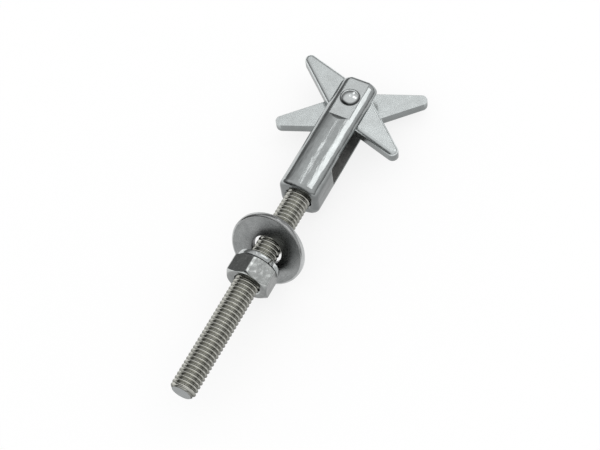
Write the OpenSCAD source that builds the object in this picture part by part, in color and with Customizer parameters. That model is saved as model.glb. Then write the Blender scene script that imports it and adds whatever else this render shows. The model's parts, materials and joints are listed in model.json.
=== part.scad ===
// Spring toggle bolt: a threaded stud locked in a slotted yoke, with two sprung
// wings that cross on a rivet, and a nut, lock washer and flat washer on the stud.
// Built along X from the tail end (x = 0) to the head, with the rivet along Z,
// then laid down as it comes to rest: on the washer's rim and the edge of the head.

/* [Stud] */
// Diameter of the stud over the crests of its thread
stud_d = 6; // [5:0.25:7]
// Pitch of the thread
thread_pitch = 1; // [0.8:0.1:1.25]
// Depth of the thread
thread_depth = 0.6; // [0.4:0.05:0.7]
// Length of stud that stands out of the yoke
stud_free_l = 53.9; // [50:0.2:80]
// Chamfer at the tail end
tail_chamfer = 0.7; // [0.3:0.1:1.2]
// How far below the nut the free end's last root lies
root_gap = 0.2; // [0.1:0.1:1]
// How far the stud stops short of the slot
stud_recess = 0.4; // [0.2:0.1:2]

/* [Yoke] */
// Length of the yoke along the stud
yoke_l = 33.3; // [31:0.1:40]
// Width of the yoke across the slot's open sides
yoke_w = 9.8; // [9:0.1:12]
// Thickness of each cheek at the top of its crown
cheek_t = 2.2; // [1.8:0.1:3]
// Length of the solid base that holds the stud
base_l = 8.1; // [6:0.1:9]
// Distance from the rivet to the head end
pin_inset = 6; // [5:0.1:8]
// Radius of the crowned outer face of the cheeks
crown_r = 10; // [9:0.5:16]
// Fillet between the crowned face and the side walls
shoulder_r = 3.2; // [2:0.1:3.5]
// Length of the flat pads round the rivet, from the head end
pad_l = 11.7; // [9:0.1:13]
// How far the pads are milled into the crowns
pad_sink = 0.35; // [0.2:0.05:0.6]
// Length of the ramp from each pad up to the crown
ramp_l = 1.2; // [0.6:0.1:3]
// Rounding of the base's edges and corners
base_edge_r = 1.2; // [0.6:0.1:1.8]
// Rounding of the head end's edges
top_edge_r = 0.9; // [0.5:0.1:1.5]
// Rounding of the head end's corners, seen from the front
top_corner_r = 1.9; // [1:0.1:2.5]
// Radius in the corners at the bottom of the slot
slot_corner_r = 1; // [0.5:0.1:2]

/* [Wings] */
// Length of a wing from tip to tip
wing_l = 36; // [33:0.5:37]
// Width of a wing at the rivet
wing_hub_w = 9.7; // [9:0.1:11]
// Radius of a wing's tips
wing_tip_r = 1.4; // [1.2:0.1:2]
// Thickness of a wing
wing_t = 3; // [2.8:0.1:4]
// Rounding of a wing's outer edges
wing_edge_r = 1; // [0.4:0.1:1.1]
// Angle of the front wing to the stud, with the spring relaxed
front_wing_angle = 61.5; // [30:0.5:85]
// Angle of the rear wing to the stud, on the other side
rear_wing_angle = 56; // [30:0.5:85]

/* [Rivet and spring] */
// Shank diameter of the rivet
rivet_d = 3.2; // [2.6:0.1:3.6]
// Diameter of the rivet's head, and of its countersunk tail
rivet_head_d = 4.5; // [4.2:0.1:6]
// Height of the domed front head
rivet_dome_h = 1.1; // [0.8:0.1:1.4]
// Depth of the countersink at the back, where the rivet is set flush
rivet_sink = 0.6; // [0.4:0.1:1]
// Wire diameter of the spring
wire_d = 0.6; // [0.4:0.05:0.65]
// Mean diameter of the spring's coils
coil_d = 5.2; // [4.8:0.1:5.4]
// Number of coils
coil_turns = 3.25; // [2.25:1:3.25]
// Straight leg at each end of the coils
leg_l = 1.5; // [1:0.1:1.6]

/* [Nut and washers] */
// Width of the nut across its flats
nut_af = 10; // [9:0.5:13]
// Height of the nut
nut_h = 5; // [4:0.1:6.5]
// Distance from the tail end to the nut
nut_x = 29.2; // [20:0.1:32]
// How far inside the flats the nut's end faces stop
nut_face_inset = 0.15; // [0.1:0.05:0.4]
// Countersink where the nut's and the yoke's threads start
mouth_chamfer = 0.4; // [0.2:0.1:0.6]
// How far the nut is turned on the thread
nut_turn = 34; // [0:1:60]
// Outside diameter of the lock washer
lock_od = 10.2; // [9:0.1:13]
// Thickness of the lock washer
lock_t = 1.2; // [1:0.1:2]
// How much larger than the stud the lock washer's hole is
lock_play = 0.4; // [0.2:0.1:0.8]
// Width of the cut in the lock washer
lock_cut = 0.3; // [0.2:0.1:1.2]
// Where the cut is, round the stud
lock_cut_angle = 133; // [0:1:359]
// Slant of the cut, to either side
lock_cut_slant = -15; // [-40:1:40]
// Outside diameter of the flat washer
washer_od = 18; // [17:0.5:24]
// Thickness of the flat washer
washer_t = 1.6; // [1.2:0.1:2]
// How much larger than the stud the flat washer's hole is
washer_play = 1.4; // [0.6:0.1:1.6]
// Rounding of the flat washer's rim
washer_edge_r = 0.45; // [0.2:0.05:0.6]
// How far along the stud the loose flat washer rests from the lock washer
washer_off = 0.75; // [0:0.05:3]

/* [Fits] */
// Radial clearance of the threads, drawn as plain cylinders
thread_clear = 0.05; // [0.02:0.01:0.08]
// Radial clearance of the wings and the yoke on the rivet
pivot_clear = 0.05; // [0.02:0.01:0.08]
// Gap between the wings, and between each wing and its cheek
wing_gap = 0.1; // [0.05:0.01:0.15]
// Clearance round the spring in its pockets
spring_clear = 0.1; // [0.05:0.01:0.15]
// Gap between the nut, the lock washer and the flat washer
stack_gap = 0.05; // [0.02:0.01:0.2]
// Radial clearance where the leaning washer binds on the stud
washer_clear = 0.03; // [0.02:0.01:0.1]

/* [Hidden] */
$fn = 96;
hull_fn = 28;
coil_step = 18;
wire_sides = 8;
over = 1;

// Stud, nut and washers along the bolt
stud_r = stud_d / 2;
root_r = stud_r - thread_depth;
root_end_x = nut_x - root_gap;
root_w = thread_pitch * 7 / 8;
root_flat_w = thread_pitch / 4;
thread_bore_d = stud_d + 2 * thread_clear;
nut_corner_r = nut_af / 2 / cos(30);
nut_face_r = nut_af / 2 - nut_face_inset;
nut_chamfer_h = (nut_corner_r - nut_face_r) * tan(30);
lock_x = nut_x + nut_h + stack_gap;
lock_bore_d = stud_d + lock_play;
washer_hole_d = stud_d + washer_play;

// The loose washer leans until its hole binds on the stud, just above the lock washer
washer_diag = norm([washer_hole_d, washer_t]);
washer_lean = acos((stud_d + 2 * washer_clear) / washer_diag) - atan2(washer_t, washer_hole_d);
washer_stand = washer_t / 2 / cos(washer_lean) + tan(washer_lean) * lock_od / 2;
washer_x = lock_x + lock_t + 2 * stack_gap + washer_stand + washer_off;

// Yoke
yoke_x = stud_free_l;
head_x = yoke_x + yoke_l;
slot_x = yoke_x + base_l;
pin_x = head_x - pin_inset;
pad_x = head_x - pad_l;
slot_w = 2 * wing_t + 3 * wing_gap;
yoke_t = slot_w + 2 * cheek_t;
pad_z = yoke_t / 2 - pad_sink;
stud_l = slot_x - stud_recess;

// Wings and spring
wing_reach = wing_l / 2 - wing_tip_r;
pivot_bore_d = rivet_d + 2 * pivot_clear;
coil_pitch = wire_d + spring_clear;
coil_h = coil_turns * coil_pitch;
pocket_h = (coil_h + wire_d + 2 * spring_clear - wing_gap) / 2;
leg_r = norm([coil_d / 2, leg_l]);
pocket_d = 2 * leg_r + wire_d + 4 * spring_clear;
hook_l = wing_t - pocket_h - 2 * spring_clear - wire_d;
hook_angle = -atan2(leg_l, coil_d / 2);

// Rest on the floor: pitch at which the washer's rim and the rounded edge of the head both touch it
rim_r = washer_od / 2 - washer_edge_r;
rim_h = washer_t / 2 - washer_edge_r;
edge_x = head_x - top_edge_r;
edge_z = pad_z - top_edge_r;
rest_run = edge_x - washer_x + rim_r * sin(washer_lean) - rim_h * cos(washer_lean);
rest_drop = edge_z - rim_r * cos(washer_lean) - rim_h * sin(washer_lean);
rest_turn = asin((washer_edge_r - top_edge_r) / norm([rest_run, rest_drop]));
rest_pitch = rest_turn - atan2(rest_drop, rest_run);
rest_z = edge_x * sin(rest_pitch) + edge_z * cos(rest_pitch) + top_edge_r;
low_x = -(stud_r - tail_chamfer) * sin(rest_pitch);
rear_tip_x = (pin_x + wing_reach * cos(rear_wing_angle) + wing_tip_r) * cos(rest_pitch)
    - wing_gap / 2 * sin(rest_pitch);
front_tip_x = (pin_x + wing_reach * cos(front_wing_angle) + wing_tip_r) * cos(rest_pitch)
    + (wing_t - wing_edge_r) * sin(rest_pitch);
origin_x = (low_x + max(rear_tip_x, front_tip_x)) / 2;

// Lays the bolt down on z = 0, with the origin under the middle of its length
module lay() {
    translate([-origin_x, 0, rest_z])
        rotate([0, rest_pitch, 0])
            children();
}

// Turns a solid that is built up along Z so that it runs along the bolt from x
module along(x) {
    translate([x, 0, 0])
        rotate([0, 90, 0])
            children();
}

// Puts a solid that is built round Z on the rivet's axis at height z, turned by angle
module at_pin(z, angle) {
    translate([pin_x, 0, z])
        rotate([0, 0, angle])
            children();
}

// Bar outline from x0 to x1 with corner radius r0 at its start and r1 at its end
module bar_outline(x0, x1, w, r0, r1) {
    translate([x0 + r0, -w / 2])
        square([x1 - x0 - r0 - r1, w]);
    translate([x0, r0 - w / 2])
        square([2 * r0, w - 2 * r0]);
    translate([x1 - 2 * r1, r1 - w / 2])
        square([2 * r1, w - 2 * r1]);
    for (side = [-1, 1]) {
        translate([x0 + r0, side * (w / 2 - r0)])
            circle(r0);
        translate([x1 - r1, side * (w / 2 - r1)])
            circle(r1);
    }
}

// Cross-section of the shank: two crowned faces, with fillets tangent to crowns and walls
module crowned_section() {
    inset = yoke_w / 2 - shoulder_r;
    apex = yoke_t / 2;
    fillet_z = apex - crown_r + sqrt((crown_r - shoulder_r) * (crown_r - shoulder_r) - inset * inset);
    touch_y = inset * crown_r / (crown_r - shoulder_r);
    intersection() {
        square([2 * touch_y, yoke_t], center = true);
        translate([0, apex - crown_r])
            circle(crown_r, $fn = 4 * $fn);
        translate([0, crown_r - apex])
            circle(crown_r, $fn = 4 * $fn);
    }
    square([yoke_w, 2 * fillet_z], center = true);
    for (side = [-1, 1], face = [-1, 1])
        translate([side * inset, face * fillet_z])
            circle(shoulder_r);
}

// Extrudes a section drawn in Y and Z along the bolt, from x0 to x1
module run(x0, x1) {
    translate([x0, 0, 0])
        rotate([90, 0, 90])
            linear_extrude(x1 - x0)
                children();
}

// Extrudes an outline drawn in X and Z right across the yoke
module across() {
    rotate([90, 0, 0])
        linear_extrude(2 * yoke_w, center = true)
            children();
}

// Side view of the yoke: the head is as thick as its pads, and ramps up to the thicker shank
module side_outline() {
    ramp_x = pad_x - ramp_l;
    bar_outline(slot_x, head_x, 2 * pad_z, top_edge_r, top_edge_r);
    intersection() {
        bar_outline(yoke_x, head_x, yoke_t, base_edge_r, base_edge_r);
        polygon([
            [yoke_x, -yoke_t / 2],
            [ramp_x, -yoke_t / 2],
            [pad_x, -pad_z],
            [pad_x, pad_z],
            [ramp_x, yoke_t / 2],
            [yoke_x, yoke_t / 2],
        ]);
    }
}

module yoke_blank() {
    intersection() {
        run(yoke_x, head_x)
            crowned_section();
        across()
            side_outline();
        linear_extrude(2 * yoke_t, center = true)
            bar_outline(yoke_x, head_x, yoke_w, base_edge_r, top_corner_r);
    }
}

// Slot for the wings, open at the head and on both sides
module slot() {
    across() {
        translate([slot_x + slot_corner_r, -slot_w / 2])
            square([yoke_l, slot_w]);
        translate([slot_x, slot_corner_r - slot_w / 2])
            square([yoke_l, slot_w - 2 * slot_corner_r]);
        for (side = [-1, 1])
            translate([slot_x + slot_corner_r, side * (slot_w / 2 - slot_corner_r)])
                circle(slot_corner_r);
    }
}

// Countersink where a threaded bore starts, at z = 0
module bore_mouth() {
    bore_r = thread_bore_d / 2;
    translate([0, 0, -mouth_chamfer])
        cylinder(h = 2 * mouth_chamfer, r1 = bore_r + 2 * mouth_chamfer, r2 = bore_r);
}

// Cone that the rivet's tail fills, with its wide end at z = 0, grown by a clearance and drawn out
module rivet_seat(clear, out) {
    spread = (rivet_head_d - rivet_d) / 2 / rivet_sink;
    translate([0, 0, -out])
        cylinder(
            h = rivet_sink + out,
            r1 = rivet_head_d / 2 + clear + out * spread,
            r2 = rivet_d / 2 + clear
        );
}

// The thread is drawn plain, over its crests, apart from the root just below the nut,
// which parts the free end from the stretch that carries the nut and the washers
module threaded_stud() {
    flank_w = (root_w - root_flat_w) / 2;
    color([0.62, 0.62, 0.58])
        lay()
            along(0)
                rotate_extrude()
                    polygon([
                        [0, 0],
                        [stud_r - tail_chamfer, 0],
                        [stud_r, tail_chamfer],
                        [stud_r, root_end_x - root_w],
                        [root_r, root_end_x - flank_w - root_flat_w],
                        [root_r, root_end_x - flank_w],
                        [stud_r, root_end_x],
                        [stud_r, stud_l],
                        [0, stud_l],
                    ]);
}

module yoke() {
    color([0.7, 0.71, 0.72])
        lay()
            difference() {
                yoke_blank();
                slot();
                along(yoke_x - over)
                    cylinder(h = base_l + 2 * over, d = thread_bore_d);
                along(yoke_x)
                    bore_mouth();
                at_pin(0, 0)
                    cylinder(h = 2 * yoke_t, d = pivot_bore_d, center = true);
                at_pin(-pad_z, 0)
                    rivet_seat(pivot_clear, over);
            }
}

module pivot_rivet() {
    head_r = rivet_head_d / 2;
    dome_r = (head_r * head_r + rivet_dome_h * rivet_dome_h) / (2 * rivet_dome_h);
    color([0.75, 0.75, 0.74])
        lay() {
            at_pin(-pad_z, 0)
                cylinder(h = 2 * pad_z, d = rivet_d);
            at_pin(pad_z, 0)
                rotate_extrude()
                    intersection() {
                        translate([0, rivet_dome_h - dome_r])
                            circle(dome_r);
                        square([head_r, rivet_dome_h]);
                    }
            at_pin(-pad_z, 0)
                rivet_seat(0, 0);
        }
}

// Disc of radius r with its upper edge rounded
module rounded_disc(r) {
    rotate_extrude($fn = hull_fn)
        intersection() {
            square([r, wing_t]);
            union() {
                square([r, wing_t - wing_edge_r]);
                square([r - wing_edge_r, wing_t]);
                translate([r - wing_edge_r, wing_t - wing_edge_r])
                    circle(wing_edge_r, $fn = hull_fn);
            }
        }
}

// One wing, lying along X with its flat inner face at z = 0
module wing() {
    difference() {
        hull() {
            rounded_disc(wing_hub_w / 2);
            for (end = [-1, 1])
                translate([end * wing_reach, 0, 0])
                    rounded_disc(wing_tip_r);
        }
        translate([0, 0, -over])
            cylinder(h = wing_t + 2 * over, d = pivot_bore_d);
        translate([0, 0, -over])
            cylinder(h = over + pocket_h, d = pocket_d);
        rotate(hook_angle)
            translate([leg_r, 0, 0])
                cylinder(h = pocket_h + wire_d + hook_l, d = wire_d + 2 * spring_clear);
    }
}

module front_wing() {
    color([0.74, 0.76, 0.76])
        lay()
            at_pin(wing_gap / 2, front_wing_angle)
                wing();
}

module rear_wing() {
    color([0.72, 0.74, 0.74])
        lay()
            at_pin(-wing_gap / 2, -rear_wing_angle)
                mirror([0, 0, 1])
                    wing();
}

// Points of the spring's wire: the hook in the rear wing, rear leg, coils and front leg
function coil_point(a) = [coil_d / 2 * cos(a), coil_d / 2 * sin(a), coil_h * (a / 360 / coil_turns - 0.5)];
function spring_points() =
    let (last = 360 * coil_turns, rear = coil_point(0), front = coil_point(last))
    concat(
        [rear + [0, -leg_l, -hook_l - wire_d]],
        [rear + [0, -leg_l, -wire_d / 2]],
        [rear + [0, wire_d / 2 - leg_l, 0]],
        [for (a = [0 : coil_step : last]) coil_point(a)],
        [front + leg_l * [-sin(last), cos(last), 0]]
    );
function unit(v) = v / norm(v);
function tangent(p, i) = unit(p[min(i + 1, len(p) - 1)] - p[max(i - 1, 0)]);
function wire_ring(p, i) =
    let (t = tangent(p, i), out = [p[i][0], p[i][1], 0], n = unit(out - (out * t) * t), b = cross(t, n))
    [for (k = [0 : wire_sides - 1])
        p[i] + wire_d / 2 * (cos(360 * k / wire_sides) * n + sin(360 * k / wire_sides) * b)];

module wing_spring() {
    path = spring_points();
    rings = len(path);
    points = [for (i = [0 : rings - 1]) each wire_ring(path, i)];
    walls = [for (i = [0 : rings - 2], k = [0 : wire_sides - 1])
        let (j = (k + 1) % wire_sides, a = i * wire_sides)
        [a + k, a + wire_sides + k, a + wire_sides + j, a + j]];
    start_cap = [for (k = [0 : wire_sides - 1]) k];
    end_cap = [for (k = [wire_sides - 1 : -1 : 0]) (rings - 1) * wire_sides + k];
    color([0.55, 0.55, 0.55])
        lay()
            at_pin(0, -rear_wing_angle)
                polyhedron(points, concat(walls, [start_cap], [end_cap]));
}

module hex_nut() {
    color([0.66, 0.67, 0.65])
        lay()
            along(nut_x)
                difference() {
                    intersection() {
                        rotate(90 + nut_turn)
                            cylinder(h = nut_h, r = nut_corner_r, $fn = 6);
                        rotate_extrude()
                            polygon([
                                [0, 0],
                                [nut_face_r, 0],
                                [nut_corner_r + over, nut_chamfer_h + over * tan(30)],
                                [nut_corner_r + over, nut_h - nut_chamfer_h - over * tan(30)],
                                [nut_face_r, nut_h],
                                [0, nut_h],
                            ]);
                    }
                    translate([0, 0, -over])
                        cylinder(h = nut_h + 2 * over, d = thread_bore_d);
                    bore_mouth();
                    translate([0, 0, nut_h])
                        mirror([0, 0, 1])
                            bore_mouth();
                }
}

module lock_washer() {
    color([0.76, 0.76, 0.75])
        lay()
            along(lock_x)
                difference() {
                    cylinder(h = lock_t, d = lock_od);
                    translate([0, 0, -over])
                        cylinder(h = lock_t + 2 * over, d = lock_bore_d);
                    rotate(90 + lock_cut_angle)
                        translate([lock_od / 2, 0, lock_t / 2])
                            rotate([lock_cut_slant, 0, 0])
                                cube([lock_od, lock_cut, 4 * lock_t], center = true);
                }
}

module flat_washer() {
    color([0.6, 0.61, 0.61])
        lay()
            translate([washer_x, 0, 0])
                rotate([0, washer_lean + 90, 0])
                    rotate_extrude()
                        difference() {
                            bar_outline(0, washer_od / 2, washer_t, washer_edge_r, washer_edge_r);
                            square([washer_hole_d, 2 * washer_t], center = true);
                        }
}

threaded_stud();
yoke();
pivot_rivet();
front_wing();
rear_wing();
wing_spring();
hex_nut();
lock_washer();
flat_washer();
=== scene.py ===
# %% [markdown]
# # A spring toggle bolt in bright steel
# The bolt lies on a white table: a threaded stud with a nut and two washers, screwed into a slotted
# yoke in which two wings cross on a rivet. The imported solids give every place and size. Here each
# piece gets the thread, the rounded edges and the metal that the solids leave out.

import json
import math

import bmesh
import bpy
from mathutils import Matrix, Quaternion, Vector


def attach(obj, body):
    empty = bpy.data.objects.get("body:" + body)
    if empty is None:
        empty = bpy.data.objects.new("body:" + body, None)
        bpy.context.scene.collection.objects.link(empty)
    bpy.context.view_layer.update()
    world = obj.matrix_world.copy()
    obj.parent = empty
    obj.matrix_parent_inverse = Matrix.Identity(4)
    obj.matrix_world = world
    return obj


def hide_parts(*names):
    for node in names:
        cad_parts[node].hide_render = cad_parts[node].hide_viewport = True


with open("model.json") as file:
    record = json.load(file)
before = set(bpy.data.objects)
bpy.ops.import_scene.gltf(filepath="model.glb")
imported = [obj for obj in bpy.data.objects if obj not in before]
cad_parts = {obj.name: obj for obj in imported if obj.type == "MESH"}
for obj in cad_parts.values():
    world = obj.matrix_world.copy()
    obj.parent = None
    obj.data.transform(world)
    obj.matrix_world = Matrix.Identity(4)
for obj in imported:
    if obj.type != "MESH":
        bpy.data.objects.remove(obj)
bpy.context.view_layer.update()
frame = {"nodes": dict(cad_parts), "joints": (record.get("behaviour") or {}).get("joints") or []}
print("solids:", ", ".join(sorted(frame["nodes"])))

# %% [markdown]
# ## The bolt's own axes
# The bolt rests on the rim of its washer and the edge of its head, so its axis dips a little.
# Pieces are easier to model on straight axes: X along the stud from its tail, Z along the rivet,
# in millimetres. The joints of the frame give both directions, and one matrix lays a piece down.

# %% Bolt axes
MM = 0.001
PIN_X = 81.2
joints = {joint["name"]: joint for joint in frame["joints"]}
along = Vector(joints["nut_advance"]["axis"]).normalized()
upright = Vector(joints["front_wing_pivot"]["axis"]).normalized()
sideways = upright.cross(along)
tail = Vector(joints["front_wing_pivot"]["pos_m"]) - along * PIN_X * MM
axes = Matrix((along, sideways, upright)).transposed()
bolt_to_world = Matrix.Translation(tail) @ axes.to_4x4() @ Matrix.Scale(MM, 4)
print("tail at", [round(c / MM, 2) for c in tail], "mm")
print("dip", round(math.degrees(axes.to_euler().y), 2), "degrees")

# %% [markdown]
# ## Camera
# A photographer stood above the tail of the bolt with a long lens and held the camera a little
# askew. The eye, the point aimed at and the roll were solved on the bolt's axes from the thread's
# spacing and the edges of the yoke, so one track-to rotation and one turn about the line of sight
# rebuild it, and the view follows the bolt if the way it rests changes.

# %% Camera
IMAGE_WIDTH = 600
FOCAL_PIXELS = 1626.7
SENSOR_WIDTH = 36
EYE = Vector((-111.79, -118.685, 309.02))
AIM = Vector((48.86, -3.01, -1.77))
ROLL = math.radians(-9.72)

scene = bpy.context.scene
scene.view_settings.view_transform = "Standard"
lens = bpy.data.cameras.new("long_lens")
lens.sensor_width = SENSOR_WIDTH
lens.lens = FOCAL_PIXELS / IMAGE_WIDTH * SENSOR_WIDTH
camera = bpy.data.objects.new("photo_camera", lens)
camera.location = bolt_to_world @ EYE
look = (AIM - EYE).to_track_quat("-Z", "Y") @ Quaternion((0, 0, 1), ROLL)
camera.rotation_euler = (axes.to_quaternion() @ look).to_euler()
scene.collection.objects.link(camera)
scene.camera = camera
print(f"lens {lens.lens:.1f} mm, {(AIM - EYE).length:.0f} mm from the bolt")

# %% [markdown]
# ## The table and its tent
# A product shot on white: white paper below and a cloth tent above. Polished metal shows nothing but
# its surroundings, so the tent is what shades it. A few helpers come first. They start a node tree,
# add a node, put a mesh on the stage, and pick out the rays that see a thing as background.

# %% Stage helpers
def node_tree(material):
    material.use_nodes = True
    tree = material.node_tree
    tree.nodes.clear()
    return tree


def add(tree, kind, **values):
    node = tree.nodes.new(kind)
    for name, value in values.items():
        setattr(node, name, value)
    return node


def stage_mesh(name, bm, material):
    mesh = bpy.data.meshes.new(name)
    bm.to_mesh(mesh)
    bm.free()
    mesh.materials.append(material)
    thing = bpy.data.objects.new(name, mesh)
    scene.collection.objects.link(thing)
    return thing


def background_rays(tree, strength):
    """Strength for camera, mirror and see-through rays, and 0 for the light that falls on things."""
    path = add(tree, "ShaderNodeLightPath")
    total = path.outputs["Is Camera Ray"]
    for kind in ("Is Glossy Ray", "Is Transmission Ray"):
        either = add(tree, "ShaderNodeMath", operation="MAXIMUM")
        tree.links.new(total, either.inputs[0])
        tree.links.new(path.outputs[kind], either.inputs[1])
        total = either.outputs["Value"]
    scaled = add(tree, "ShaderNodeMath", operation="MULTIPLY")
    scaled.inputs[1].default_value = strength
    tree.links.new(total, scaled.inputs[0])
    return scaled.outputs["Value"]


# %% [markdown]
# The paper is lifted most of the way to pure white for the rays that see it as a background, and
# keeps a soft rest of the bolt's shadow. The sky is plain white and lights everything evenly.

# %% Paper and sky
PAPER_LIFT = 0.8
PAPER_WHITE = (0.95, 0.95, 0.95, 1)
TABLE_HALF = 3
paper = bpy.data.materials.new("white_paper")
tree = node_tree(paper)
sheet = add(tree, "ShaderNodeBsdfDiffuse")
sheet.inputs["Color"].default_value = PAPER_WHITE
white = add(tree, "ShaderNodeEmission")
lifted = add(tree, "ShaderNodeMixShader")
paper_out = add(tree, "ShaderNodeOutputMaterial")
tree.links.new(background_rays(tree, PAPER_LIFT), lifted.inputs["Fac"])
tree.links.new(sheet.outputs["BSDF"], lifted.inputs[1])
tree.links.new(white.outputs["Emission"], lifted.inputs[2])
tree.links.new(lifted.outputs["Shader"], paper_out.inputs["Surface"])

bm = bmesh.new()
bmesh.ops.create_grid(bm, x_segments=1, y_segments=1, size=TABLE_HALF)
table = stage_mesh("table", bm, paper)

world = bpy.data.worlds.new("white_room")
scene.world = world
world.use_nodes = True
room = world.node_tree.nodes["Background"]
room.inputs["Color"].default_value = (1, 1, 1, 1)
room.inputs["Strength"].default_value = 1.0
print("table", [round(d, 1) for d in table.dimensions], "m")

# %% [markdown]
# The tent is a dome of grey cloth that only mirror reflections see. On the left it is dark from about
# 7 to 30 degrees up, on the right only its hem is dark, and the opening at the tail on the left,
# where the photographer stands, is darkest. These bands draw the lines along the shoulders of the
# yoke and round the rivet, and darken one flat of the nut. Each list gives a grey by the sine of the
# height, and the sides are blended one over the other across the dome.

# %% Tent
TENT_RADIUS = 1.5
TENT_HEM = 0.001
LEFT_SHADES = [
    (0, 0.38), (0.04, 0.32), (0.12, 0.16), (0.3, 0.13), (0.5, 0.26), (0.66, 0.56), (0.75, 0.66),
]
RIGHT_SHADES = [(0, 0.2), (0.12, 0.26), (0.3, 0.6), (0.5, 0.58), (0.78, 0.64)]
TAIL_SHADES = [(0, 0.05), (0.5, 0.06), (0.7, 0.3), (0.86, 0.64)]


def shade_ramp(tree, height, shades):
    """Grey by the sine of the height above the table."""
    ramp = add(tree, "ShaderNodeValToRGB")
    tree.links.new(height, ramp.inputs["Fac"])
    stops = ramp.color_ramp.elements
    for number, (place, grey) in enumerate(shades):
        stop = stops[number] if number < 2 else stops.new(place)
        stop.position = place
        stop.color = (grey, grey, grey, 1)
    return ramp.outputs["Color"]


cloth = bpy.data.materials.new("tent_cloth")
tree = node_tree(cloth)
place = add(tree, "ShaderNodeTexCoord")
parts = add(tree, "ShaderNodeSeparateXYZ")
high = add(tree, "ShaderNodeMath", operation="DIVIDE")
high.inputs[1].default_value = TENT_RADIUS
glow = add(tree, "ShaderNodeEmission")
cloth_out = add(tree, "ShaderNodeOutputMaterial")
tree.links.new(place.outputs["Object"], parts.inputs["Vector"])
tree.links.new(parts.outputs["Z"], high.inputs[0])
shade = shade_ramp(tree, high.outputs["Value"], LEFT_SHADES)
for shades, axis, start, end in ((TAIL_SHADES, "X", -0.1, -0.6), (RIGHT_SHADES, "Y", 0.35, -0.35)):
    side = add(tree, "ShaderNodeMapRange", interpolation_type="SMOOTHSTEP")
    side.inputs["From Min"].default_value = start * TENT_RADIUS
    side.inputs["From Max"].default_value = end * TENT_RADIUS
    blend = add(tree, "ShaderNodeMix", data_type="RGBA")
    tree.links.new(parts.outputs[axis], side.inputs["Value"])
    tree.links.new(side.outputs["Result"], blend.inputs["Factor"])
    tree.links.new(shade, blend.inputs["A"])
    tree.links.new(shade_ramp(tree, high.outputs["Value"], shades), blend.inputs["B"])
    shade = blend.outputs["Result"]
tree.links.new(shade, glow.inputs["Color"])
tree.links.new(glow.outputs["Emission"], cloth_out.inputs["Surface"])

bm = bmesh.new()
bmesh.ops.create_uvsphere(bm, u_segments=64, v_segments=32, radius=TENT_RADIUS)
bmesh.ops.bisect_plane(
    bm, geom=bm.verts[:] + bm.edges[:] + bm.faces[:],
    plane_co=(0, 0, TENT_HEM), plane_no=(0, 0, -1), clear_outer=True,
)
tent = stage_mesh("tent", bm, cloth)
for ray in ("camera", "diffuse", "transmission", "volume_scatter", "shadow"):
    setattr(tent, f"visible_{ray}", False)
print("tent", TENT_RADIUS, "m in radius")


# %% [markdown]
# Three lamps shine through the cloth: a long panel that leans to the right, which is the white streak
# along the shank and the gleam on the nut, a narrow strip overhead, and a low one beyond the head,
# which gleams on the rounded edges of the wings. Their strength is given as brightness in a mirror,
# so that 1 is as bright as the paper.

# %% Lamps
LAMP_DISTANCE = 1.0
LAMP_BRIGHTNESS = 1.2


def lamp(name, bearing, rise, size, roll=0):
    """A rectangular lamp that faces the bolt, from a bearing and a rise, rolled, all in degrees."""
    light = bpy.data.lights.new(name, "AREA")
    light.shape = "RECTANGLE"
    light.size, light.size_y = size
    light.energy = LAMP_BRIGHTNESS * math.pi * size[0] * size[1]
    bearing, rise = math.radians(bearing), math.radians(rise)
    level = math.cos(rise)
    toward = Vector((level * math.cos(bearing), level * math.sin(bearing), math.sin(rise)))
    thing = bpy.data.objects.new(name, light)
    thing.location = bolt_to_world @ AIM + toward * LAMP_DISTANCE
    facing = toward.to_track_quat("Z", "X") @ Quaternion((0, 0, 1), math.radians(roll))
    thing.rotation_euler = facing.to_euler()
    scene.collection.objects.link(thing)
    print(f"{name}: {light.energy:.2f} W")


lamp("panel_lamp", -34.5, 48.7, (0.62, 0.22), roll=-48.5)
lamp("strip_lamp", 26, 57, (0.3, 0.05))
lamp("head_lamp", 4, 28, (0.34, 0.16))

# %% [markdown]
# ## Metals
# The yoke is polished, the wings and washers are satin, the stud is dull from its plating. All
# are the same bright steel with another grain, so one function mixes a metal from a tint, a
# roughness and a fine bump, with noise laid out in the bolt's own axes, in millimetres.

# %% Metal mixer
NOISE_SPAN = (0.3, 0.7)


def bolt_place(tree, stretch=(1, 1, 1)):
    """The place on the bolt's axes in millimetres, drawn out along each axis by stretch."""
    place = add(tree, "ShaderNodeTexCoord")
    turn = add(tree, "ShaderNodeMapping", vector_type="TEXTURE")
    turn.inputs["Location"].default_value = tail
    turn.inputs["Rotation"].default_value = axes.to_euler()
    turn.inputs["Scale"].default_value = [MM * s for s in stretch]
    tree.links.new(place.outputs["Object"], turn.inputs["Vector"])
    return turn.outputs["Vector"]


def bolt_grain(tree, stretch, scale, detail=4):
    noise = add(tree, "ShaderNodeTexNoise")
    noise.inputs["Scale"].default_value = scale
    noise.inputs["Detail"].default_value = detail
    tree.links.new(bolt_place(tree, stretch), noise.inputs["Vector"])
    return noise


def from_axis(tree, at_rivet):
    """Distance in millimetres from the bolt's axis, or from the rivet's."""
    off = add(tree, "ShaderNodeVectorMath", operation="SUBTRACT")
    off.inputs[1].default_value = (PIN_X, 0, 0)
    flat = add(tree, "ShaderNodeVectorMath", operation="MULTIPLY")
    flat.inputs[1].default_value = (1, 1, 0) if at_rivet else (0, 1, 1)
    length = add(tree, "ShaderNodeVectorMath", operation="LENGTH")
    tree.links.new(bolt_place(tree), off.inputs[0])
    tree.links.new(off.outputs["Vector"], flat.inputs[0])
    tree.links.new(flat.outputs["Vector"], length.inputs[0])
    return length.outputs["Value"]


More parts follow.
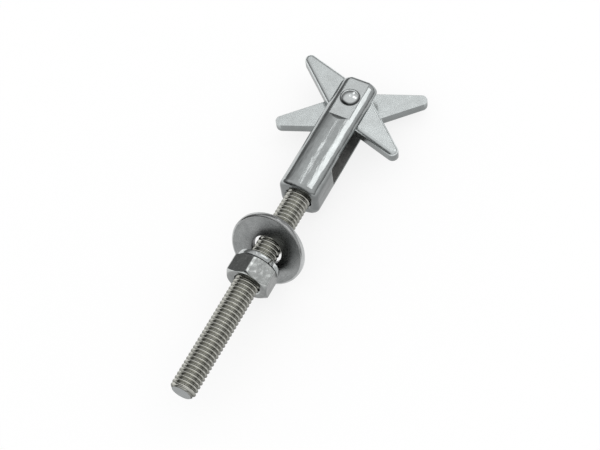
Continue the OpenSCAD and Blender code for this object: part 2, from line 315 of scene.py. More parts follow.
def spread(tree, source, low, high, span=NOISE_SPAN):
    """Maps a value from a span, at first the usual one of noise, onto low to high."""
    change = add(tree, "ShaderNodeMapRange", interpolation_type="SMOOTHSTEP")
    change.inputs["From Min"].default_value = span[0]
    change.inputs["From Max"].default_value = span[1]
    change.inputs["To Min"].default_value = low
    change.inputs["To Max"].default_value = high
    tree.links.new(source, change.inputs["Value"])
    return change.outputs["Result"]


def scaled(tree, colour, factor):
    dim = add(tree, "ShaderNodeVectorMath", operation="SCALE")
    tree.links.new(colour, dim.inputs[0])
    tree.links.new(factor, dim.inputs["Scale"])
    return dim.outputs["Vector"]


# %% [markdown]
# Three things vary the tint. Flecks are grains that tumbling has burnished. Sides and undersides are
# painted darker than what faces up, a painted shade. Rings round an axis are painted darker by their
# distance from it: painted shade in the stud's roots, in the gap round the rivet and on the rivet's
# rim, and a painted reflection of the nut and stud round the washer's hole. The dull plating of the
# stud doesn't flare at a glancing angle, which is its edge tint. A broad low wave in the bump is what
# hand polishing leaves on a crown, and makes its reflections wander.

# %% Steel
BURNISHED = (0.97, 0.98, 0.98, 1)
FLECK_SPAN = (0.54, 0.68)
CLOUDS_PER_MM = 0.5
WAVES_PER_MM = 1.1
RELIEF_STRENGTH = 0.5


def steel(
    name, dark, light, rough, grain, stretch=(1, 1, 1), bump=0.002, wave=0.0, wave_stretch=(5, 1, 1),
    fleck=0.0, fleck_grain=2.4, painted_underside_shade=1.0, painted_underside_span=(0, 0.5), painted_ring_shade=None, at_rivet=False, edge=1.0,
):
    """Bright steel: tints, roughness range and grain per mm; the painted ring shade is (radius, tint,
    radius, tint).
    """
    material = bpy.data.materials.new(name)
    tree = node_tree(material)
    shader = add(tree, "ShaderNodeBsdfPrincipled")
    shader.inputs["Metallic"].default_value = 1
    shader.inputs["Specular Tint"].default_value = (edge, edge, edge, 1)
    out = add(tree, "ShaderNodeOutputMaterial")
    tree.links.new(shader.outputs["BSDF"], out.inputs["Surface"])
    fine = bolt_grain(tree, stretch, grain).outputs["Fac"]
    tint = add(tree, "ShaderNodeValToRGB")
    for stop, position, shade in zip(tint.color_ramp.elements, NOISE_SPAN, (dark, light)):
        stop.position = position
        stop.color = (*shade, 1)
    tree.links.new(bolt_grain(tree, (1, 1, 1), CLOUDS_PER_MM).outputs["Fac"], tint.inputs["Fac"])
    colour = tint.outputs["Color"]
    if fleck:
        bright = add(tree, "ShaderNodeMix", data_type="RGBA")
        bright.inputs["B"].default_value = BURNISHED
        grains = bolt_grain(tree, (1, 1, 1), fleck_grain).outputs["Fac"]
        tree.links.new(spread(tree, grains, 0, fleck, FLECK_SPAN), bright.inputs["Factor"])
        tree.links.new(colour, bright.inputs["A"])
        colour = bright.outputs["Result"]
    # Painted shade: the tint is scaled down where the normal turns away from up, so sides and
    # undersides come out darker.
    if painted_underside_shade < 1:
        facing = add(tree, "ShaderNodeTexCoord")
        upward = add(tree, "ShaderNodeSeparateXYZ")
        tree.links.new(facing.outputs["Normal"], upward.inputs["Vector"])
        colour = scaled(tree, colour, spread(tree, upward.outputs["Z"], painted_underside_shade, 1, painted_underside_span))
    # Painted shade: the tint is scaled by the distance from the bolt's or the rivet's axis, which
    # paints dark rings.
    if painted_ring_shade:
        near, near_tint, far, far_tint = painted_ring_shade
        radius = from_axis(tree, at_rivet)
        colour = scaled(tree, colour, spread(tree, radius, near_tint, far_tint, (near, far)))
    tree.links.new(colour, shader.inputs["Base Color"])
    tree.links.new(spread(tree, fine, *rough), shader.inputs["Roughness"])
    heights = [(fine, bump)]
    if wave:
        heights.append((bolt_grain(tree, wave_stretch, WAVES_PER_MM, 1).outputs["Fac"], wave))
    normal = None
    for height, depth in heights:
        relief = add(tree, "ShaderNodeBump")
        relief.inputs["Strength"].default_value = RELIEF_STRENGTH
        relief.inputs["Distance"].default_value = depth * MM
        tree.links.new(height, relief.inputs["Height"])
        if normal is not None:
            tree.links.new(normal, relief.inputs["Normal"])
        normal = relief.outputs["Normal"]
    tree.links.new(normal, shader.inputs["Normal"])
    return material


# %% [markdown]
# One metal for each finish on the bolt. Grain that is drawn out along one axis is brushed, and a grain
# alike in all directions is tumbled.

# %% Bolt metals
# Most of these metals are painted darker on their sides and undersides, a painted shade.
polished = steel(
    "polished_yoke", (0.44, 0.46, 0.46), (0.54, 0.57, 0.57), (0.1, 0.2), 6, (12, 1, 1),
    wave=0.1, painted_underside_shade=0.4, painted_underside_span=(0.25, 0.8),
)
# The pad is painted dark in a narrow ring round the rivet's head, a painted shadow in the gap.
brushed = steel(
    "brushed_pad", (0.70, 0.73, 0.73), (0.78, 0.82, 0.82), (0.28, 0.38), 6, (1, 10, 1), bump=0.001,
    painted_ring_shade=(2.3, 0.2, 2.55, 1), at_rivet=True,
)
sawn = steel("sawn_slot", (0.36, 0.36, 0.35), (0.48, 0.48, 0.47), (0.4, 0.55), 4, (1, 8, 1), bump=0.004)
# The stud is painted darker towards its sides and in its thread's roots, a painted shade.
plated = steel(
    "plated_stud", (0.86, 0.86, 0.78), (0.96, 0.96, 0.89), (0.14, 0.24), 3,
    painted_underside_shade=0.42, painted_underside_span=(0.2, 1), painted_ring_shade=(2.42, 0.54, 2.8, 1), edge=0.4,
)
satin = steel(
    "satin_wings", (0.72, 0.76, 0.76), (0.82, 0.87, 0.87), (0.22, 0.34), 4,
    bump=0.001, fleck=0.25, painted_underside_shade=0.3,
)
nut_metal = steel(
    "bright_nut", (0.46, 0.48, 0.47), (0.58, 0.60, 0.59), (0.1, 0.2), 4, bump=0.004,
    wave=0.16, wave_stretch=(2, 2, 2), fleck=0.25, fleck_grain=1.8, painted_underside_shade=0.36,
)
# The washer's face is painted darker towards its hole, a painted reflection of the nut and stud.
washer_metal = steel(
    "satin_washer", (0.27, 0.28, 0.28), (0.36, 0.37, 0.37), (0.24, 0.36), 5, painted_ring_shade=(3.5, 0.7, 6.5, 1)
)
# The washer's rim is a brighter metal than its face, a painted highlight along the rounded edge.
rim_painted_highlight_metal = steel("rim_painted_highlight", (0.42, 0.43, 0.43), (0.54, 0.55, 0.55), (0.16, 0.28), 4)
ring_metal = steel(
    "bright_ring", (0.36, 0.38, 0.38), (0.84, 0.87, 0.87), (0.1, 0.2), 3, fleck=0.6, painted_underside_shade=0.4
)
# The dome is painted nearly black towards its rim, a painted shade round the rivet's head.
rivet_metal = steel(
    "polished_rivet", (0.78, 0.81, 0.81), (0.88, 0.92, 0.92), (0.14, 0.22), 5,
    painted_underside_shade=0.25, painted_ring_shade=(1.75, 1, 2.2, 0.12), at_rivet=True,
)
spring_metal = steel("spring_wire", (0.42, 0.42, 0.41), (0.50, 0.50, 0.49), (0.25, 0.35), 6)
# The washer's hole wall is painted nearly black, a painted shade in the gap round the stud.
painted_shade_hole_metal = steel("painted_shade_hole_wall", (0.10, 0.10, 0.10), (0.16, 0.16, 0.16), (0.3, 0.45), 5)
print("materials:", len(bpy.data.materials))


# %% [markdown]
# ## Showing a piece
# A finished piece keeps its place in its mesh, rides on the body that moves it, hides the solid
# that it stands for and takes a finish. The normals are made to agree after doubles are merged. A
# flat face beside a small rounding would be shaded as if it bulged, so a modifier lets the larger
# face decide the normals that the two share.

# %% Piece helper
MERGE_DISTANCE = 0.002
LARGER_FACE_WINS = 100


def show(name, bm, metal, body, node, sharp=25, patches=()):
    """Adds a piece; patches are (metal, test of a face on the bolt's axes) for faces that differ."""
    bmesh.ops.remove_doubles(bm, verts=bm.verts, dist=MERGE_DISTANCE)
    bmesh.ops.recalc_face_normals(bm, faces=bm.faces)
    for face in bm.faces:
        matches = [number for number, (_, test) in enumerate(patches, 1) if test(face)]
        face.material_index = matches[0] if matches else 0
    bmesh.ops.transform(bm, matrix=bolt_to_world, verts=bm.verts)
    mesh = bpy.data.meshes.new(name)
    bm.to_mesh(mesh)
    open_edges = sum(not edge.is_manifold for edge in bm.edges)
    bm.free()
    mesh.shade_smooth()
    mesh.set_sharp_from_angle(angle=math.radians(sharp))
    for finish in (metal, *(patch for patch, _ in patches)):
        mesh.materials.append(finish)
    piece = bpy.data.objects.new(name, mesh)
    flats = piece.modifiers.new("flat_faces", "WEIGHTED_NORMAL")
    flats.weight = LARGER_FACE_WINS
    flats.keep_sharp = True
    scene.collection.objects.link(piece)
    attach(piece, body)
    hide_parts(node)
    print(f"{name}: {len(mesh.polygons)} faces, {open_edges} open edges")


# %% [markdown]
# ## Threaded stud
# The thread is rolled into the rod, so its crests are slightly round and its roots are smooth. One
# ridge, given as (place in the pitch, share of the depth), is spun with a step along the axis and
# makes the whole helix. It begins a few turns early and ends late, and is cut to length. Both ends
# are square, and the tail is turned down to a cone so that a nut will start.

# %% Stud
STUD_R = 3.0
STUD_L = 61.6
PITCH = 1.0
ROOT_R = 2.45
TAIL_CHAMFER = 0.7
CREST_START = 0.49
STEPS_PER_TURN = 40
SPARE_TURNS = 3
TURN_MERGE = 0.004
RIDGE = [(-0.5, 1), (-0.43, 0.97), (-0.35, 0.82), (-0.25, 0.5), (-0.16, 0.2), (-0.08, 0.04), (0, 0)]


def threaded_rod():
    bm = bmesh.new()
    half = [(t, STUD_R - (STUD_R - ROOT_R) * depth) for t, depth in RIDGE]
    ridge = half + [(-t, r) for t, r in reversed(half[:-1])]
    start = CREST_START - SPARE_TURNS * PITCH
    turns = int(STUD_L / PITCH) + 2 * SPARE_TURNS
    points = [bm.verts.new((start + t * PITCH, r, 0)) for t, r in ridge]
    lines = [bm.edges.new(pair) for pair in zip(points, points[1:])]
    bmesh.ops.spin(
        bm, geom=points + lines, cent=(0, 0, 0), axis=(1, 0, 0), angle=2 * math.pi * turns,
        steps=STEPS_PER_TURN * turns, dvec=(PITCH / STEPS_PER_TURN, 0, 0), use_merge=False,
    )
    bmesh.ops.remove_doubles(bm, verts=bm.verts, dist=TURN_MERGE)
    for x, side in ((0, -1), (STUD_L, 1)):
        everything = bm.verts[:] + bm.edges[:] + bm.faces[:]
        bmesh.ops.bisect_plane(
            bm, geom=everything, dist=0.0001, plane_co=(x, 0, 0), plane_no=(side, 0, 0),
            clear_outer=True,
        )
    for vert in bm.verts:
        cone = STUD_R - TAIL_CHAMFER + vert.co.x
        radius = vert.co.yz.length
        if radius > cone:
            vert.co.y *= cone / radius
            vert.co.z *= cone / radius
    bmesh.ops.holes_fill(bm, edges=[e for e in bm.edges if e.is_boundary], sides=0)
    return bm


show(
    "rolled_thread", threaded_rod(), plated, "root", "threaded_stud", sharp=50,
    patches=[(satin, lambda face: abs(face.normal.x) > 0.99)],
)


# %% [markdown]
# ## Turned rings
# Nuts, washers and rivets begin as round blanks, and so do they here: a closed section of
# (place along the axis, radius) points is spun once round the bolt's axis.

# %% Turning helper
def section(points, rounded=()):
    """A flat face from (x, radius) points; rounded gives (point numbers, radius, steps) to round."""
    bm = bmesh.new()
    corners = [bm.verts.new((x, r, 0)) for x, r in points]
    bm.faces.new(corners)
    for numbers, radius, steps in rounded:
        bmesh.ops.bevel(
            bm, geom=[corners[n] for n in numbers], offset=radius, offset_type="OFFSET", segments=steps,
            profile=0.5, affect="VERTICES", material=-1,
        )
    return bm


def turned(bm, steps=96, angle=2 * math.pi):
    """Spins the section round the bolt's axis, all the way or through an angle."""
    full = angle == 2 * math.pi
    if full:
        bmesh.ops.delete(bm, geom=bm.faces[:], context="FACES_ONLY")
    bmesh.ops.spin(
        bm, geom=bm.verts[:] + bm.edges[:] + bm.faces[:], cent=(0, 0, 0), axis=(1, 0, 0),
        angle=angle, steps=steps, use_merge=full,
    )
    return bm


# %% [markdown]
# ## Hexagon nut
# A hexagon nut is cut from bar and its ends are turned to a flat cone, which leaves a curved line on
# each side. Here the turned blank's outer loops are pushed out to the hexagon, and each point of
# the edge sits where that cone meets the side.

# %% Nut
NUT_X = 29.2
NUT_H = 5.0
NUT_SIDE = 5.0
NUT_FACE_R = 4.85
NUT_TURN = 34
NUT_BORE_R = 3.05
NUT_MOUTH = 0.4
NUT_CONE = math.radians(30)
NUT_CREASE = math.radians(24)
NUT_EDGE = 0.1


def hexagon_nut():
    inner = [(NUT_MOUTH, NUT_BORE_R), (0, NUT_BORE_R + NUT_MOUTH), (0, NUT_FACE_R), (1, NUT_SIDE * 2)]
    profile = inner + [(NUT_H - x, r) for x, r in reversed(inner)]
    bm = turned(section(profile), steps=120)
    for vert in bm.verts:
        radius = vert.co.yz.length
        if radius > NUT_SIDE + 1:
            turn = math.degrees(math.atan2(vert.co.z, vert.co.y)) - NUT_TURN
            off_side = math.radians(turn % 60 - 30)
            reach = NUT_SIDE / math.cos(off_side)
            cone = (reach - NUT_FACE_R) * math.tan(NUT_CONE)
            vert.co.x = cone if vert.co.x < NUT_H / 2 else NUT_H - cone
            vert.co.y *= reach / radius
            vert.co.z *= reach / radius
    bmesh.ops.recalc_face_normals(bm, faces=bm.faces)
    creases = [e for e in bm.edges if len(e.link_faces) == 2 and e.calc_face_angle(0) > NUT_CREASE]
    bmesh.ops.bevel(
        bm, geom=creases, offset=NUT_EDGE, offset_type="OFFSET", segments=2, profile=0.5,
        affect="EDGES", material=-1,
    )
    bmesh.ops.translate(bm, verts=bm.verts, vec=(NUT_X, 0, 0))
    return bm


show("nut_blank", hexagon_nut(), nut_metal, "nut", "hex_nut")

# %% [markdown]
# ## Split lock washer
# A square wire is wound once and cut on a slant, so its ends bite when the nut is tightened. The
# section is spun almost all the way round, and a slight twist along the axis gives the slanted cut.

# %% Lock washer
LOCK_X = 34.25
LOCK_T = 1.2
LOCK_R = 5.1
LOCK_BORE_R = 3.2
LOCK_GAP = 0.3
LOCK_CUT = 133
LOCK_SLANT = -15
LOCK_EDGE = 0.18


def lock_ring():
    box = [(0, LOCK_BORE_R), (LOCK_T, LOCK_BORE_R), (LOCK_T, LOCK_R), (0, LOCK_R)]
    middle = (LOCK_R + LOCK_BORE_R) / 2
    gap = LOCK_GAP / middle
    bm = turned(section(box, [((0, 1, 2, 3), LOCK_EDGE, 3)]), steps=96, angle=2 * math.pi - gap)
    for vert in bm.verts:
        twist = (vert.co.x - LOCK_T / 2) * math.tan(math.radians(LOCK_SLANT)) / middle
        vert.co.rotate(Matrix.Rotation(math.radians(LOCK_CUT) + gap / 2 - twist, 3, "X"))
    bmesh.ops.translate(bm, verts=bm.verts, vec=(LOCK_X, 0, 0))
    bmesh.ops.holes_fill(bm, edges=[e for e in bm.edges if e.is_boundary], sides=0)
    return bm


show("split_ring", lock_ring(), ring_metal, "nut_carriage", "lock_washer")

# %% [markdown]
# ## Flat washer
# Stamped from sheet and tumbled, so the rim is rounded and the hole is only just broken. It hangs
# askew on the stud, leaning until its hole binds on the thread.

# %% Flat washer
WASHER_X = 39.518
WASHER_LEAN = math.radians(24.629)
WASHER_R = 9.0
WASHER_HOLE_R = 3.7
WASHER_T = 1.6
WASHER_EDGE = 0.45
WASHER_HOLE_EDGE = 0.14


def stamped_washer():
    half = WASHER_T / 2
    box = [(-half, WASHER_HOLE_R), (half, WASHER_HOLE_R), (half, WASHER_R), (-half, WASHER_R)]
    bm = turned(section(box, [((2, 3), WASHER_EDGE, 5), ((0, 1), WASHER_HOLE_EDGE, 2)]), steps=120)
    lean = Matrix.Translation((WASHER_X, 0, 0)) @ Matrix.Rotation(WASHER_LEAN, 4, "Y")
    bmesh.ops.transform(bm, matrix=lean, verts=bm.verts)
    return bm


def washer_reach(face):
    """Distance of a face from the washer's own axis."""
    off = face.calc_center_median() - Vector((WASHER_X, 0, 0))
    off.rotate(Matrix.Rotation(-WASHER_LEAN, 3, "Y"))
    return off.yz.length


show(
    "plain_washer", stamped_washer(), washer_metal, "washer", "flat_washer",
    # The hole wall gets a near-black painted shade, and the rim a painted highlight.
    patches=[
        (painted_shade_hole_metal, lambda face: washer_reach(face) < WASHER_HOLE_R + 0.01),
        (rim_painted_highlight_metal, lambda face: washer_reach(face) > WASHER_R - WASHER_EDGE),
    ],
)

# %% [markdown]
# ## Yoke
# The yoke is pressed from bar: a crowned back with soft shoulders all along, into which a flat pad is
# milled round the rivet, with a short ramp where the cutter ran out, and a slot sawn in from the
# head. A loft is the natural way. Each station along the bolt gets one closed outline, and
# neighbouring outlines are bridged.

# %% Yoke sizes
YOKE_X, SLOT_X, PAD_X, HEAD_X = 53.9, 62.0, 75.5, 87.2
HALF_W, HALF_T = 4.9, 5.35
CROWN_R, SHOULDER_R = 10.0, 3.2
PAD_SINK, RAMP_L, RAMP_POWER = 0.35, 1.2, 1.5
PAD_Z = HALF_T - PAD_SINK
BASE_EDGE_R, TOP_EDGE_R, TOP_CORNER_R = 1.2, 0.9, 1.9
SLOT_Z, SLOT_CORNER_R = 3.15, 1.0
SAWN_EDGE, RAMP_EDGE, LEAST_FLAT = 0.15, 0.05, 0.3
BASE_STATIONS, SHANK_STATIONS, PAD_STATIONS = [57, 59.5], [66, 70], [79, 82]
SIDE_STEPS, BRIM_STEPS, FLAT_STEPS, WALL_STEPS = 16, 8, 6, 6


def rounding(distance, radius):
    """How far a rounded end has drawn in, at a distance from its tip."""
    left = max(radius - distance, 0)
    return radius - math.sqrt(radius * radius - left * left)


# %% [markdown]
# Half an outline runs from the slot's edge up the wall, over the shoulder and in along the crown. Where
# the cutter has passed, the crown is cut off level, so the flat widens as the ramp goes down.

# %% Yoke outline
def top_height(x):
    """Height that the cutter leaves at x: the pad, its ramp, or the untouched crown."""
    up_ramp = min(max((PAD_X - x) / RAMP_L, 0), 1)
    return PAD_Z + PAD_SINK * (1 - (1 - up_ramp) ** RAMP_POWER)


def half_outline(x, z_from):
    """Half an outline at x, from (wall, z_from) over the shoulder and the crown to the middle."""
    inset = HALF_W - SHOULDER_R
    centre = HALF_T - CROWN_R
    arc_z = centre + math.sqrt((CROWN_R - SHOULDER_R) ** 2 - inset**2)
    arc_end = math.acos(inset / (CROWN_R - SHOULDER_R))
    arc_start = math.asin(min(max((z_from - arc_z) / SHOULDER_R, 0), 1))
    wall = max(arc_z - z_from, 0)
    length = wall + SHOULDER_R * (arc_end - arc_start)
    points = []
    for n in range(SIDE_STEPS):
        run = length * n / SIDE_STEPS
        turn = arc_start + max(run - wall, 0) / SHOULDER_R
        z = z_from + run if run < wall else arc_z + SHOULDER_R * math.sin(turn)
        points.append((inset + SHOULDER_R * math.cos(turn), z))
    brim = inset + SHOULDER_R * math.cos(arc_end)
    flat = max(math.sqrt(CROWN_R**2 - (top_height(x) - centre) ** 2), LEAST_FLAT)
    across = [brim + (flat - brim) * n / BRIM_STEPS for n in range(BRIM_STEPS)]
    across += [flat * (1 - n / FLAT_STEPS) for n in range(FLAT_STEPS + 1)]
    return points + [(y, min(centre + math.sqrt(CROWN_R**2 - y * y), top_height(x))) for y in across]


print("outline points:", 2 * len(half_outline(70, SLOT_Z)) - 1)


# %% [markdown]
# The solid base is one ring and each cheek is another. Their outlines draw in at the base's edge, at
# the head's corners and in the slot's inner corners, and the stations crowd together there. The three
# lofts meet at the slot's inner end, where merged doubles and filled holes join them.

# %% Yoke loft
def loop(bm, x, points):
    verts = [bm.verts.new((x, y, z)) for y, z in points]
    return [bm.edges.new(pair) for pair in zip(verts, verts[1:] + verts[:1])]


def loft(bm, stations, outline_at):
    loops = [loop(bm, x, outline_at(x)) for x in stations]
    for a, b in zip(loops, loops[1:]):
        bmesh.ops.bridge_loops(bm, edges=a + b)


def base_outline(x):
    low = SLOT_Z - SLOT_CORNER_R + SAWN_EDGE
    draw = rounding(x - YOKE_X, BASE_EDGE_R)
    front = half_outline(x, low)
    arch = [(-y, z) for y, z in front] + [(y, z) for y, z in reversed(front[:-1])]
    wall = [(HALF_W, low * (1 - 2 * n / WALL_STEPS)) for n in range(1, WALL_STEPS)]
    ring = arch + wall + [(-y, -z) for y, z in arch] + [(-y, -z) for y, z in wall]
    return [(y * (1 - draw / HALF_W), z * (1 - draw / HALF_T)) for y, z in ring]


def cheek_outline(x):
    inner = SLOT_Z - rounding(x - SLOT_X, SLOT_CORNER_R)
    front = half_outline(x, inner + SAWN_EDGE)
    front.insert(0, (front[0][0] - SAWN_EDGE, inner))
    thin = (PAD_Z - rounding(HEAD_X - x, TOP_EDGE_R) - inner) / (PAD_Z - inner)
    narrow = 1 - rounding(HEAD_X - x, TOP_CORNER_R) / HALF_W
    front = [(y * narrow, inner + (z - inner) * thin) for y, z in front]
    return [(-y, z) for y, z in front] + [(y, z) for y, z in reversed(front[:-1])]


def eased(start, end, count):
    """Stations close together at start, as a rounded end needs."""
    return [start + (end - start) * (1 - math.cos(math.pi / 2 * n / count)) for n in range(count + 1)]


def yoke_blank():
    bm = bmesh.new()
    base = eased(YOKE_X, YOKE_X + BASE_EDGE_R, 8) + BASE_STATIONS + [SLOT_X]
    loft(bm, base, base_outline)
    ramp_x = PAD_X - RAMP_L
    ramp = [ramp_x + RAMP_L * n / 16 for n in range(17)]
    head = list(reversed(eased(HEAD_X, HEAD_X - TOP_CORNER_R, 12)))
    shank = eased(SLOT_X, SLOT_X + SLOT_CORNER_R, 6) + SHANK_STATIONS + [ramp_x - RAMP_EDGE]
    cheek = shank + ramp + [PAD_X + RAMP_EDGE] + PAD_STATIONS + head
    loft(bm, cheek, cheek_outline)
    loft(bm, cheek, lambda x: [(y, -z) for y, z in cheek_outline(x)])
    bmesh.ops.remove_doubles(bm, verts=bm.verts, dist=0.001)
    bmesh.ops.holes_fill(bm, edges=[e for e in bm.edges if e.is_boundary], sides=0)
    bmesh.ops.recalc_face_normals(bm, faces=bm.faces)
    return bm


# %% [markdown]
# A bore through a lofted body is one drill, so it is cut with a Boolean: the drill is a turned
# shape, and the cut mesh is read back as a new bmesh.

# %% Drilling helper
def drilled(bm, *drills):
    objects = []
    for shape in (bm, *drills):
        bmesh.ops.recalc_face_normals(shape, faces=shape.faces)
        mesh = bpy.data.meshes.new("cut")
        shape.to_mesh(mesh)
        shape.free()
        thing = bpy.data.objects.new("cut", mesh)
        scene.collection.objects.link(thing)
        objects.append(thing)
    for cutter in objects[1:]:
        cut = objects[0].modifiers.new("cut", "BOOLEAN")
        cut.operation = "DIFFERENCE"
        cut.solver = "EXACT"
        cut.object = cutter
    bpy.context.view_layer.update()
    result = bmesh.new()
    result.from_object(objects[0], bpy.context.evaluated_depsgraph_get())
    for thing in objects:
        mesh = thing.data
        bpy.data.objects.remove(thing)
        bpy.data.meshes.remove(mesh)
    return result


def drill(profile, steps=64, x=0.0, crosswise=False):
    """A solid of revolution on the bolt's axis, or on the rivet's axis at x."""
    bm = turned(section(profile), steps=steps)
    bmesh.ops.remove_doubles(bm, verts=bm.verts, dist=0.0005)
    if crosswise:
        upended = Matrix.Translation((x, 0, 0)) @ Matrix.Rotation(-math.pi / 2, 4, "Y")
        bmesh.ops.transform(bm, matrix=upended, verts=bm.verts)
    return bm


# %% [markdown]
# The yoke gets two bores: one along the bolt for the stud, with a chamfered mouth, and one for the
# rivet, with a countersink at the back. The pads are brushed and the slot shows the saw, so these
# faces take another metal.

# %% Drilled yoke
STUD_BORE_R = 3.05
BORE_MOUTH = 0.4
PIN_BORE_R = 1.65
RIVET_HEAD_R = 2.25
RIVET_SINK = 0.6
SINK_PLAY = 0.05
OVERSHOOT = 1
PIN_DRILL_END = 8
drill_start, drill_end = YOKE_X - OVERSHOOT, SLOT_X + 2 * OVERSHOOT
stud_drill = drill([
    (drill_start, 0), (drill_start, STUD_BORE_R + BORE_MOUTH + OVERSHOOT),
    (YOKE_X + BORE_MOUTH, STUD_BORE_R), (drill_end, STUD_BORE_R), (drill_end, 0),
])
SINK_R = RIVET_HEAD_R + SINK_PLAY
sink_spread = (SINK_R - PIN_BORE_R) / RIVET_SINK
pin_drill = drill([
    (-PAD_Z - OVERSHOOT, 0), (-PAD_Z - OVERSHOOT, SINK_R + sink_spread * OVERSHOOT),
    (RIVET_SINK - PAD_Z, PIN_BORE_R), (PIN_DRILL_END, PIN_BORE_R), (PIN_DRILL_END, 0),
], x=PIN_X, crosswise=True)
yoke_mesh = drilled(yoke_blank(), stud_drill, pin_drill)


def on_pad(face):
    middle = face.calc_center_median()
    return abs(face.normal.z) > 0.999 and abs(middle.z) > SLOT_Z + 1 and middle.x > PAD_X


def in_slot(face):
    middle = face.calc_center_median()
    return abs(middle.z) < SLOT_Z + 0.01 and middle.x > SLOT_X - 0.01


show(
    "slotted_yoke", yoke_mesh, polished, "root", "yoke", sharp=32,
    patches=[(brushed, on_pad), (sawn, in_slot)],
)

# %% [markdown]
# ## Rivet
# A plain pin holds the wings. Its head in front is a low dome, and its tail was hammered flush into a
# countersink at the back. One section, spun on the rivet's own axis, is the whole piece.

# %% Rivet
RIVET_R = 1.6
DOME_H = 1.1
DOME_POWER = 1.15
DOME_STEPS = 12


def rivet():
    dome = []
    for n in range(DOME_STEPS + 1):
        turn = math.pi / 2 * n / DOME_STEPS
        dome.append((PAD_Z + DOME_H * math.cos(turn) ** DOME_POWER, RIVET_HEAD_R * math.sin(turn)))
    pin = [(PAD_Z, RIVET_R), (RIVET_SINK - PAD_Z, RIVET_R), (-PAD_Z, RIVET_HEAD_R), (-PAD_Z, 0)]
    return drill(dome + pin, x=PIN_X, crosswise=True)


show("set_rivet", rivet(), rivet_metal, "root", "pivot_rivet")

# %% [markdown]
# ## Wings
# Both wings come from one die: a hub with two tapering arms, rounded on the outer side and flat on
# the inner side, where a pocket keeps the spring. The outline is an arc round each tip and each side
# of the hub, with straight flanks between. It is extruded, bevelled and drilled, and the rear wing is
# turned over.

# %% Wings
HUB_R = 4.85
TIP_R = 1.4
TIP_X = 16.6
WING_T = 3.0
WING_EDGE = 1.0
WING_INNER_EDGE = 0.12
WING_GAP = 0.1
FRONT_TURN, REAR_TURN = 61.5, -56
ARC_STEPS = 16
POCKET_R = 3.502
POCKET_H = 1.4875
HOOK_R, HOOK_TURN, HOOK_HOLE_R = 3.0017, -29.98, 0.4
HOOK_HOLE_FROM, HOOK_HOLE_TO = 0.5, 2.7


def round_drill(start, end, radius, steps=64):
    """A plain cylinder on the rivet's axis, from one height to another."""
    return drill([(start, 0), (start, radius), (end, radius), (end, 0)], steps, crosswise=True)


def wing():
    lean = math.asin((HUB_R - TIP_R) / TIP_X)
    flank = math.pi / 2 - lean
    outline = []
    for n in range(ARC_STEPS + 1):
        turn = flank * (2 * n / ARC_STEPS - 1)
        outline.append((TIP_X + TIP_R * math.cos(turn), TIP_R * math.sin(turn)))
    for n in range(ARC_STEPS + 1):
        turn = flank + (math.pi - 2 * flank) * n / ARC_STEPS
        outline.append((HUB_R * math.cos(turn), HUB_R * math.sin(turn)))
    outline += [(-x, -y) for x, y in outline]
    bm = bmesh.new()
    plate = bm.faces.new([bm.verts.new((x, y, 0)) for x, y in outline])
    raised = bmesh.ops.extrude_face_region(bm, geom=[plate], use_keep_orig=True)["geom"]
    top = [item for item in raised if isinstance(item, bmesh.types.BMVert)]
    bmesh.ops.translate(bm, verts=top, vec=(0, 0, WING_T))
    bmesh.ops.remove_doubles(bm, verts=bm.verts, dist=0.001)
    bmesh.ops.recalc_face_normals(bm, faces=bm.faces)
    for height, radius, steps in ((WING_T, WING_EDGE, 6), (0, WING_INNER_EDGE, 2)):
        rim = [e for e in bm.edges if all(abs(v.co.z - height) < 1e-6 for v in e.verts)]
        bmesh.ops.bevel(
            bm, geom=rim, offset=radius, offset_type="OFFSET", segments=steps, profile=0.5,
            affect="EDGES", material=-1,
        )
    bore = round_drill(-OVERSHOOT, WING_T + OVERSHOOT, PIN_BORE_R)
    pocket = round_drill(-OVERSHOOT, POCKET_H, POCKET_R)
    hook = round_drill(HOOK_HOLE_FROM, HOOK_HOLE_TO, HOOK_HOLE_R, steps=24)
    turn = math.radians(HOOK_TURN)
    off = (HOOK_R * math.cos(turn), HOOK_R * math.sin(turn), 0)
    bmesh.ops.translate(hook, verts=hook.verts, vec=off)
    return drilled(bm, bore, pocket, hook)


def on_rivet(turn, height=0.0):
    """Lays something out on the rivet, turned by degrees about it."""
    return Matrix.Translation((PIN_X, 0, height)) @ Matrix.Rotation(math.radians(turn), 4, "Z")


front = wing()
bmesh.ops.transform(front, matrix=on_rivet(FRONT_TURN, WING_GAP / 2), verts=front.verts)
show("near_wing", front, satin, "front_wing", "front_wing")

rear = wing()
turned_over = Matrix.Scale(-1, 4, (0, 0, 1))
bmesh.ops.transform(rear, matrix=on_rivet(REAR_TURN, -WING_GAP / 2) @ turned_over, verts=rear.verts)
show("far_wing", rear, satin, "rear_wing", "rear_wing")

# %% [markdown]
# ## Spring
# A little torsion spring round the rivet opens the wings. Its wire is a ring of points spun with a
# step along the rivet, and the legs are the same ring pushed on. The rear leg is bent in two steps of
# 45 degrees into the hook that sits in the rear wing.

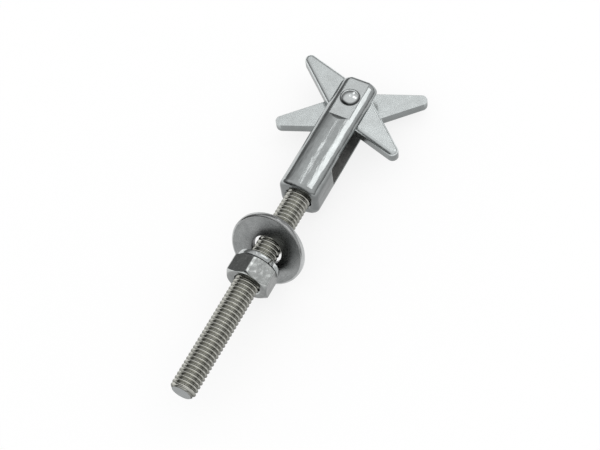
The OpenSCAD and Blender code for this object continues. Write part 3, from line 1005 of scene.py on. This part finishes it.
# %% Spring
WIRE_R = 0.3
WIRE_SIDES = 10
COIL_R = 2.6
COIL_TURNS = 3.25
COIL_PITCH = 0.7
COIL_STEPS = 24
LEG_L = 1.5
HOOK_L = 0.7125


def push(bm, rim, vector):
    """Extrudes an open ring of edges by a vector and returns the new ring."""
    made = bmesh.ops.extrude_edge_only(bm, edges=rim)["geom"]
    verts = [g for g in made if isinstance(g, bmesh.types.BMVert)]
    bmesh.ops.translate(bm, verts=verts, vec=vector)
    return [g for g in made if isinstance(g, bmesh.types.BMEdge) and all(v in verts for v in g.verts)]


def spring():
    bm = bmesh.new()
    wire = bmesh.ops.create_circle(bm, segments=WIRE_SIDES, radius=WIRE_R)["verts"]
    start = Vector((COIL_R, 0, -COIL_TURNS * COIL_PITCH / 2))
    stand = Matrix.Translation(start) @ Matrix.Rotation(math.pi / 2, 4, "X")
    bmesh.ops.transform(bm, matrix=stand, verts=wire)
    rear_rim = bm.edges[:]
    steps = int(COIL_TURNS * COIL_STEPS)
    made = bmesh.ops.spin(
        bm, geom=wire + rear_rim, cent=(0, 0, 0), axis=(0, 0, 1), angle=2 * math.pi * COIL_TURNS,
        steps=steps, dvec=(0, 0, COIL_TURNS * COIL_PITCH / steps), use_merge=False,
    )
    front_rim = [g for g in made["geom_last"] if isinstance(g, bmesh.types.BMEdge)]
    last = 2 * math.pi * COIL_TURNS
    push(bm, front_rim, (-LEG_L * math.sin(last), LEG_L * math.cos(last), 0))
    rim, centre = rear_rim, start
    for step in (Vector((0, -LEG_L + WIRE_R, 0)), Vector((0, -WIRE_R, -WIRE_R))):
        rim = push(bm, rim, step)
        centre = centre + step
        corner = list({v for edge in rim for v in edge.verts})
        bmesh.ops.rotate(bm, verts=corner, cent=centre, matrix=Matrix.Rotation(math.pi / 4, 3, "X"))
    push(bm, rim, (0, 0, -HOOK_L))
    bmesh.ops.holes_fill(bm, edges=[e for e in bm.edges if e.is_boundary], sides=0)
    bmesh.ops.transform(bm, matrix=on_rivet(REAR_TURN), verts=bm.verts)
    return bm


show("torsion_spring", spring(), spring_metal, "rear_wing", "wing_spring", sharp=60)
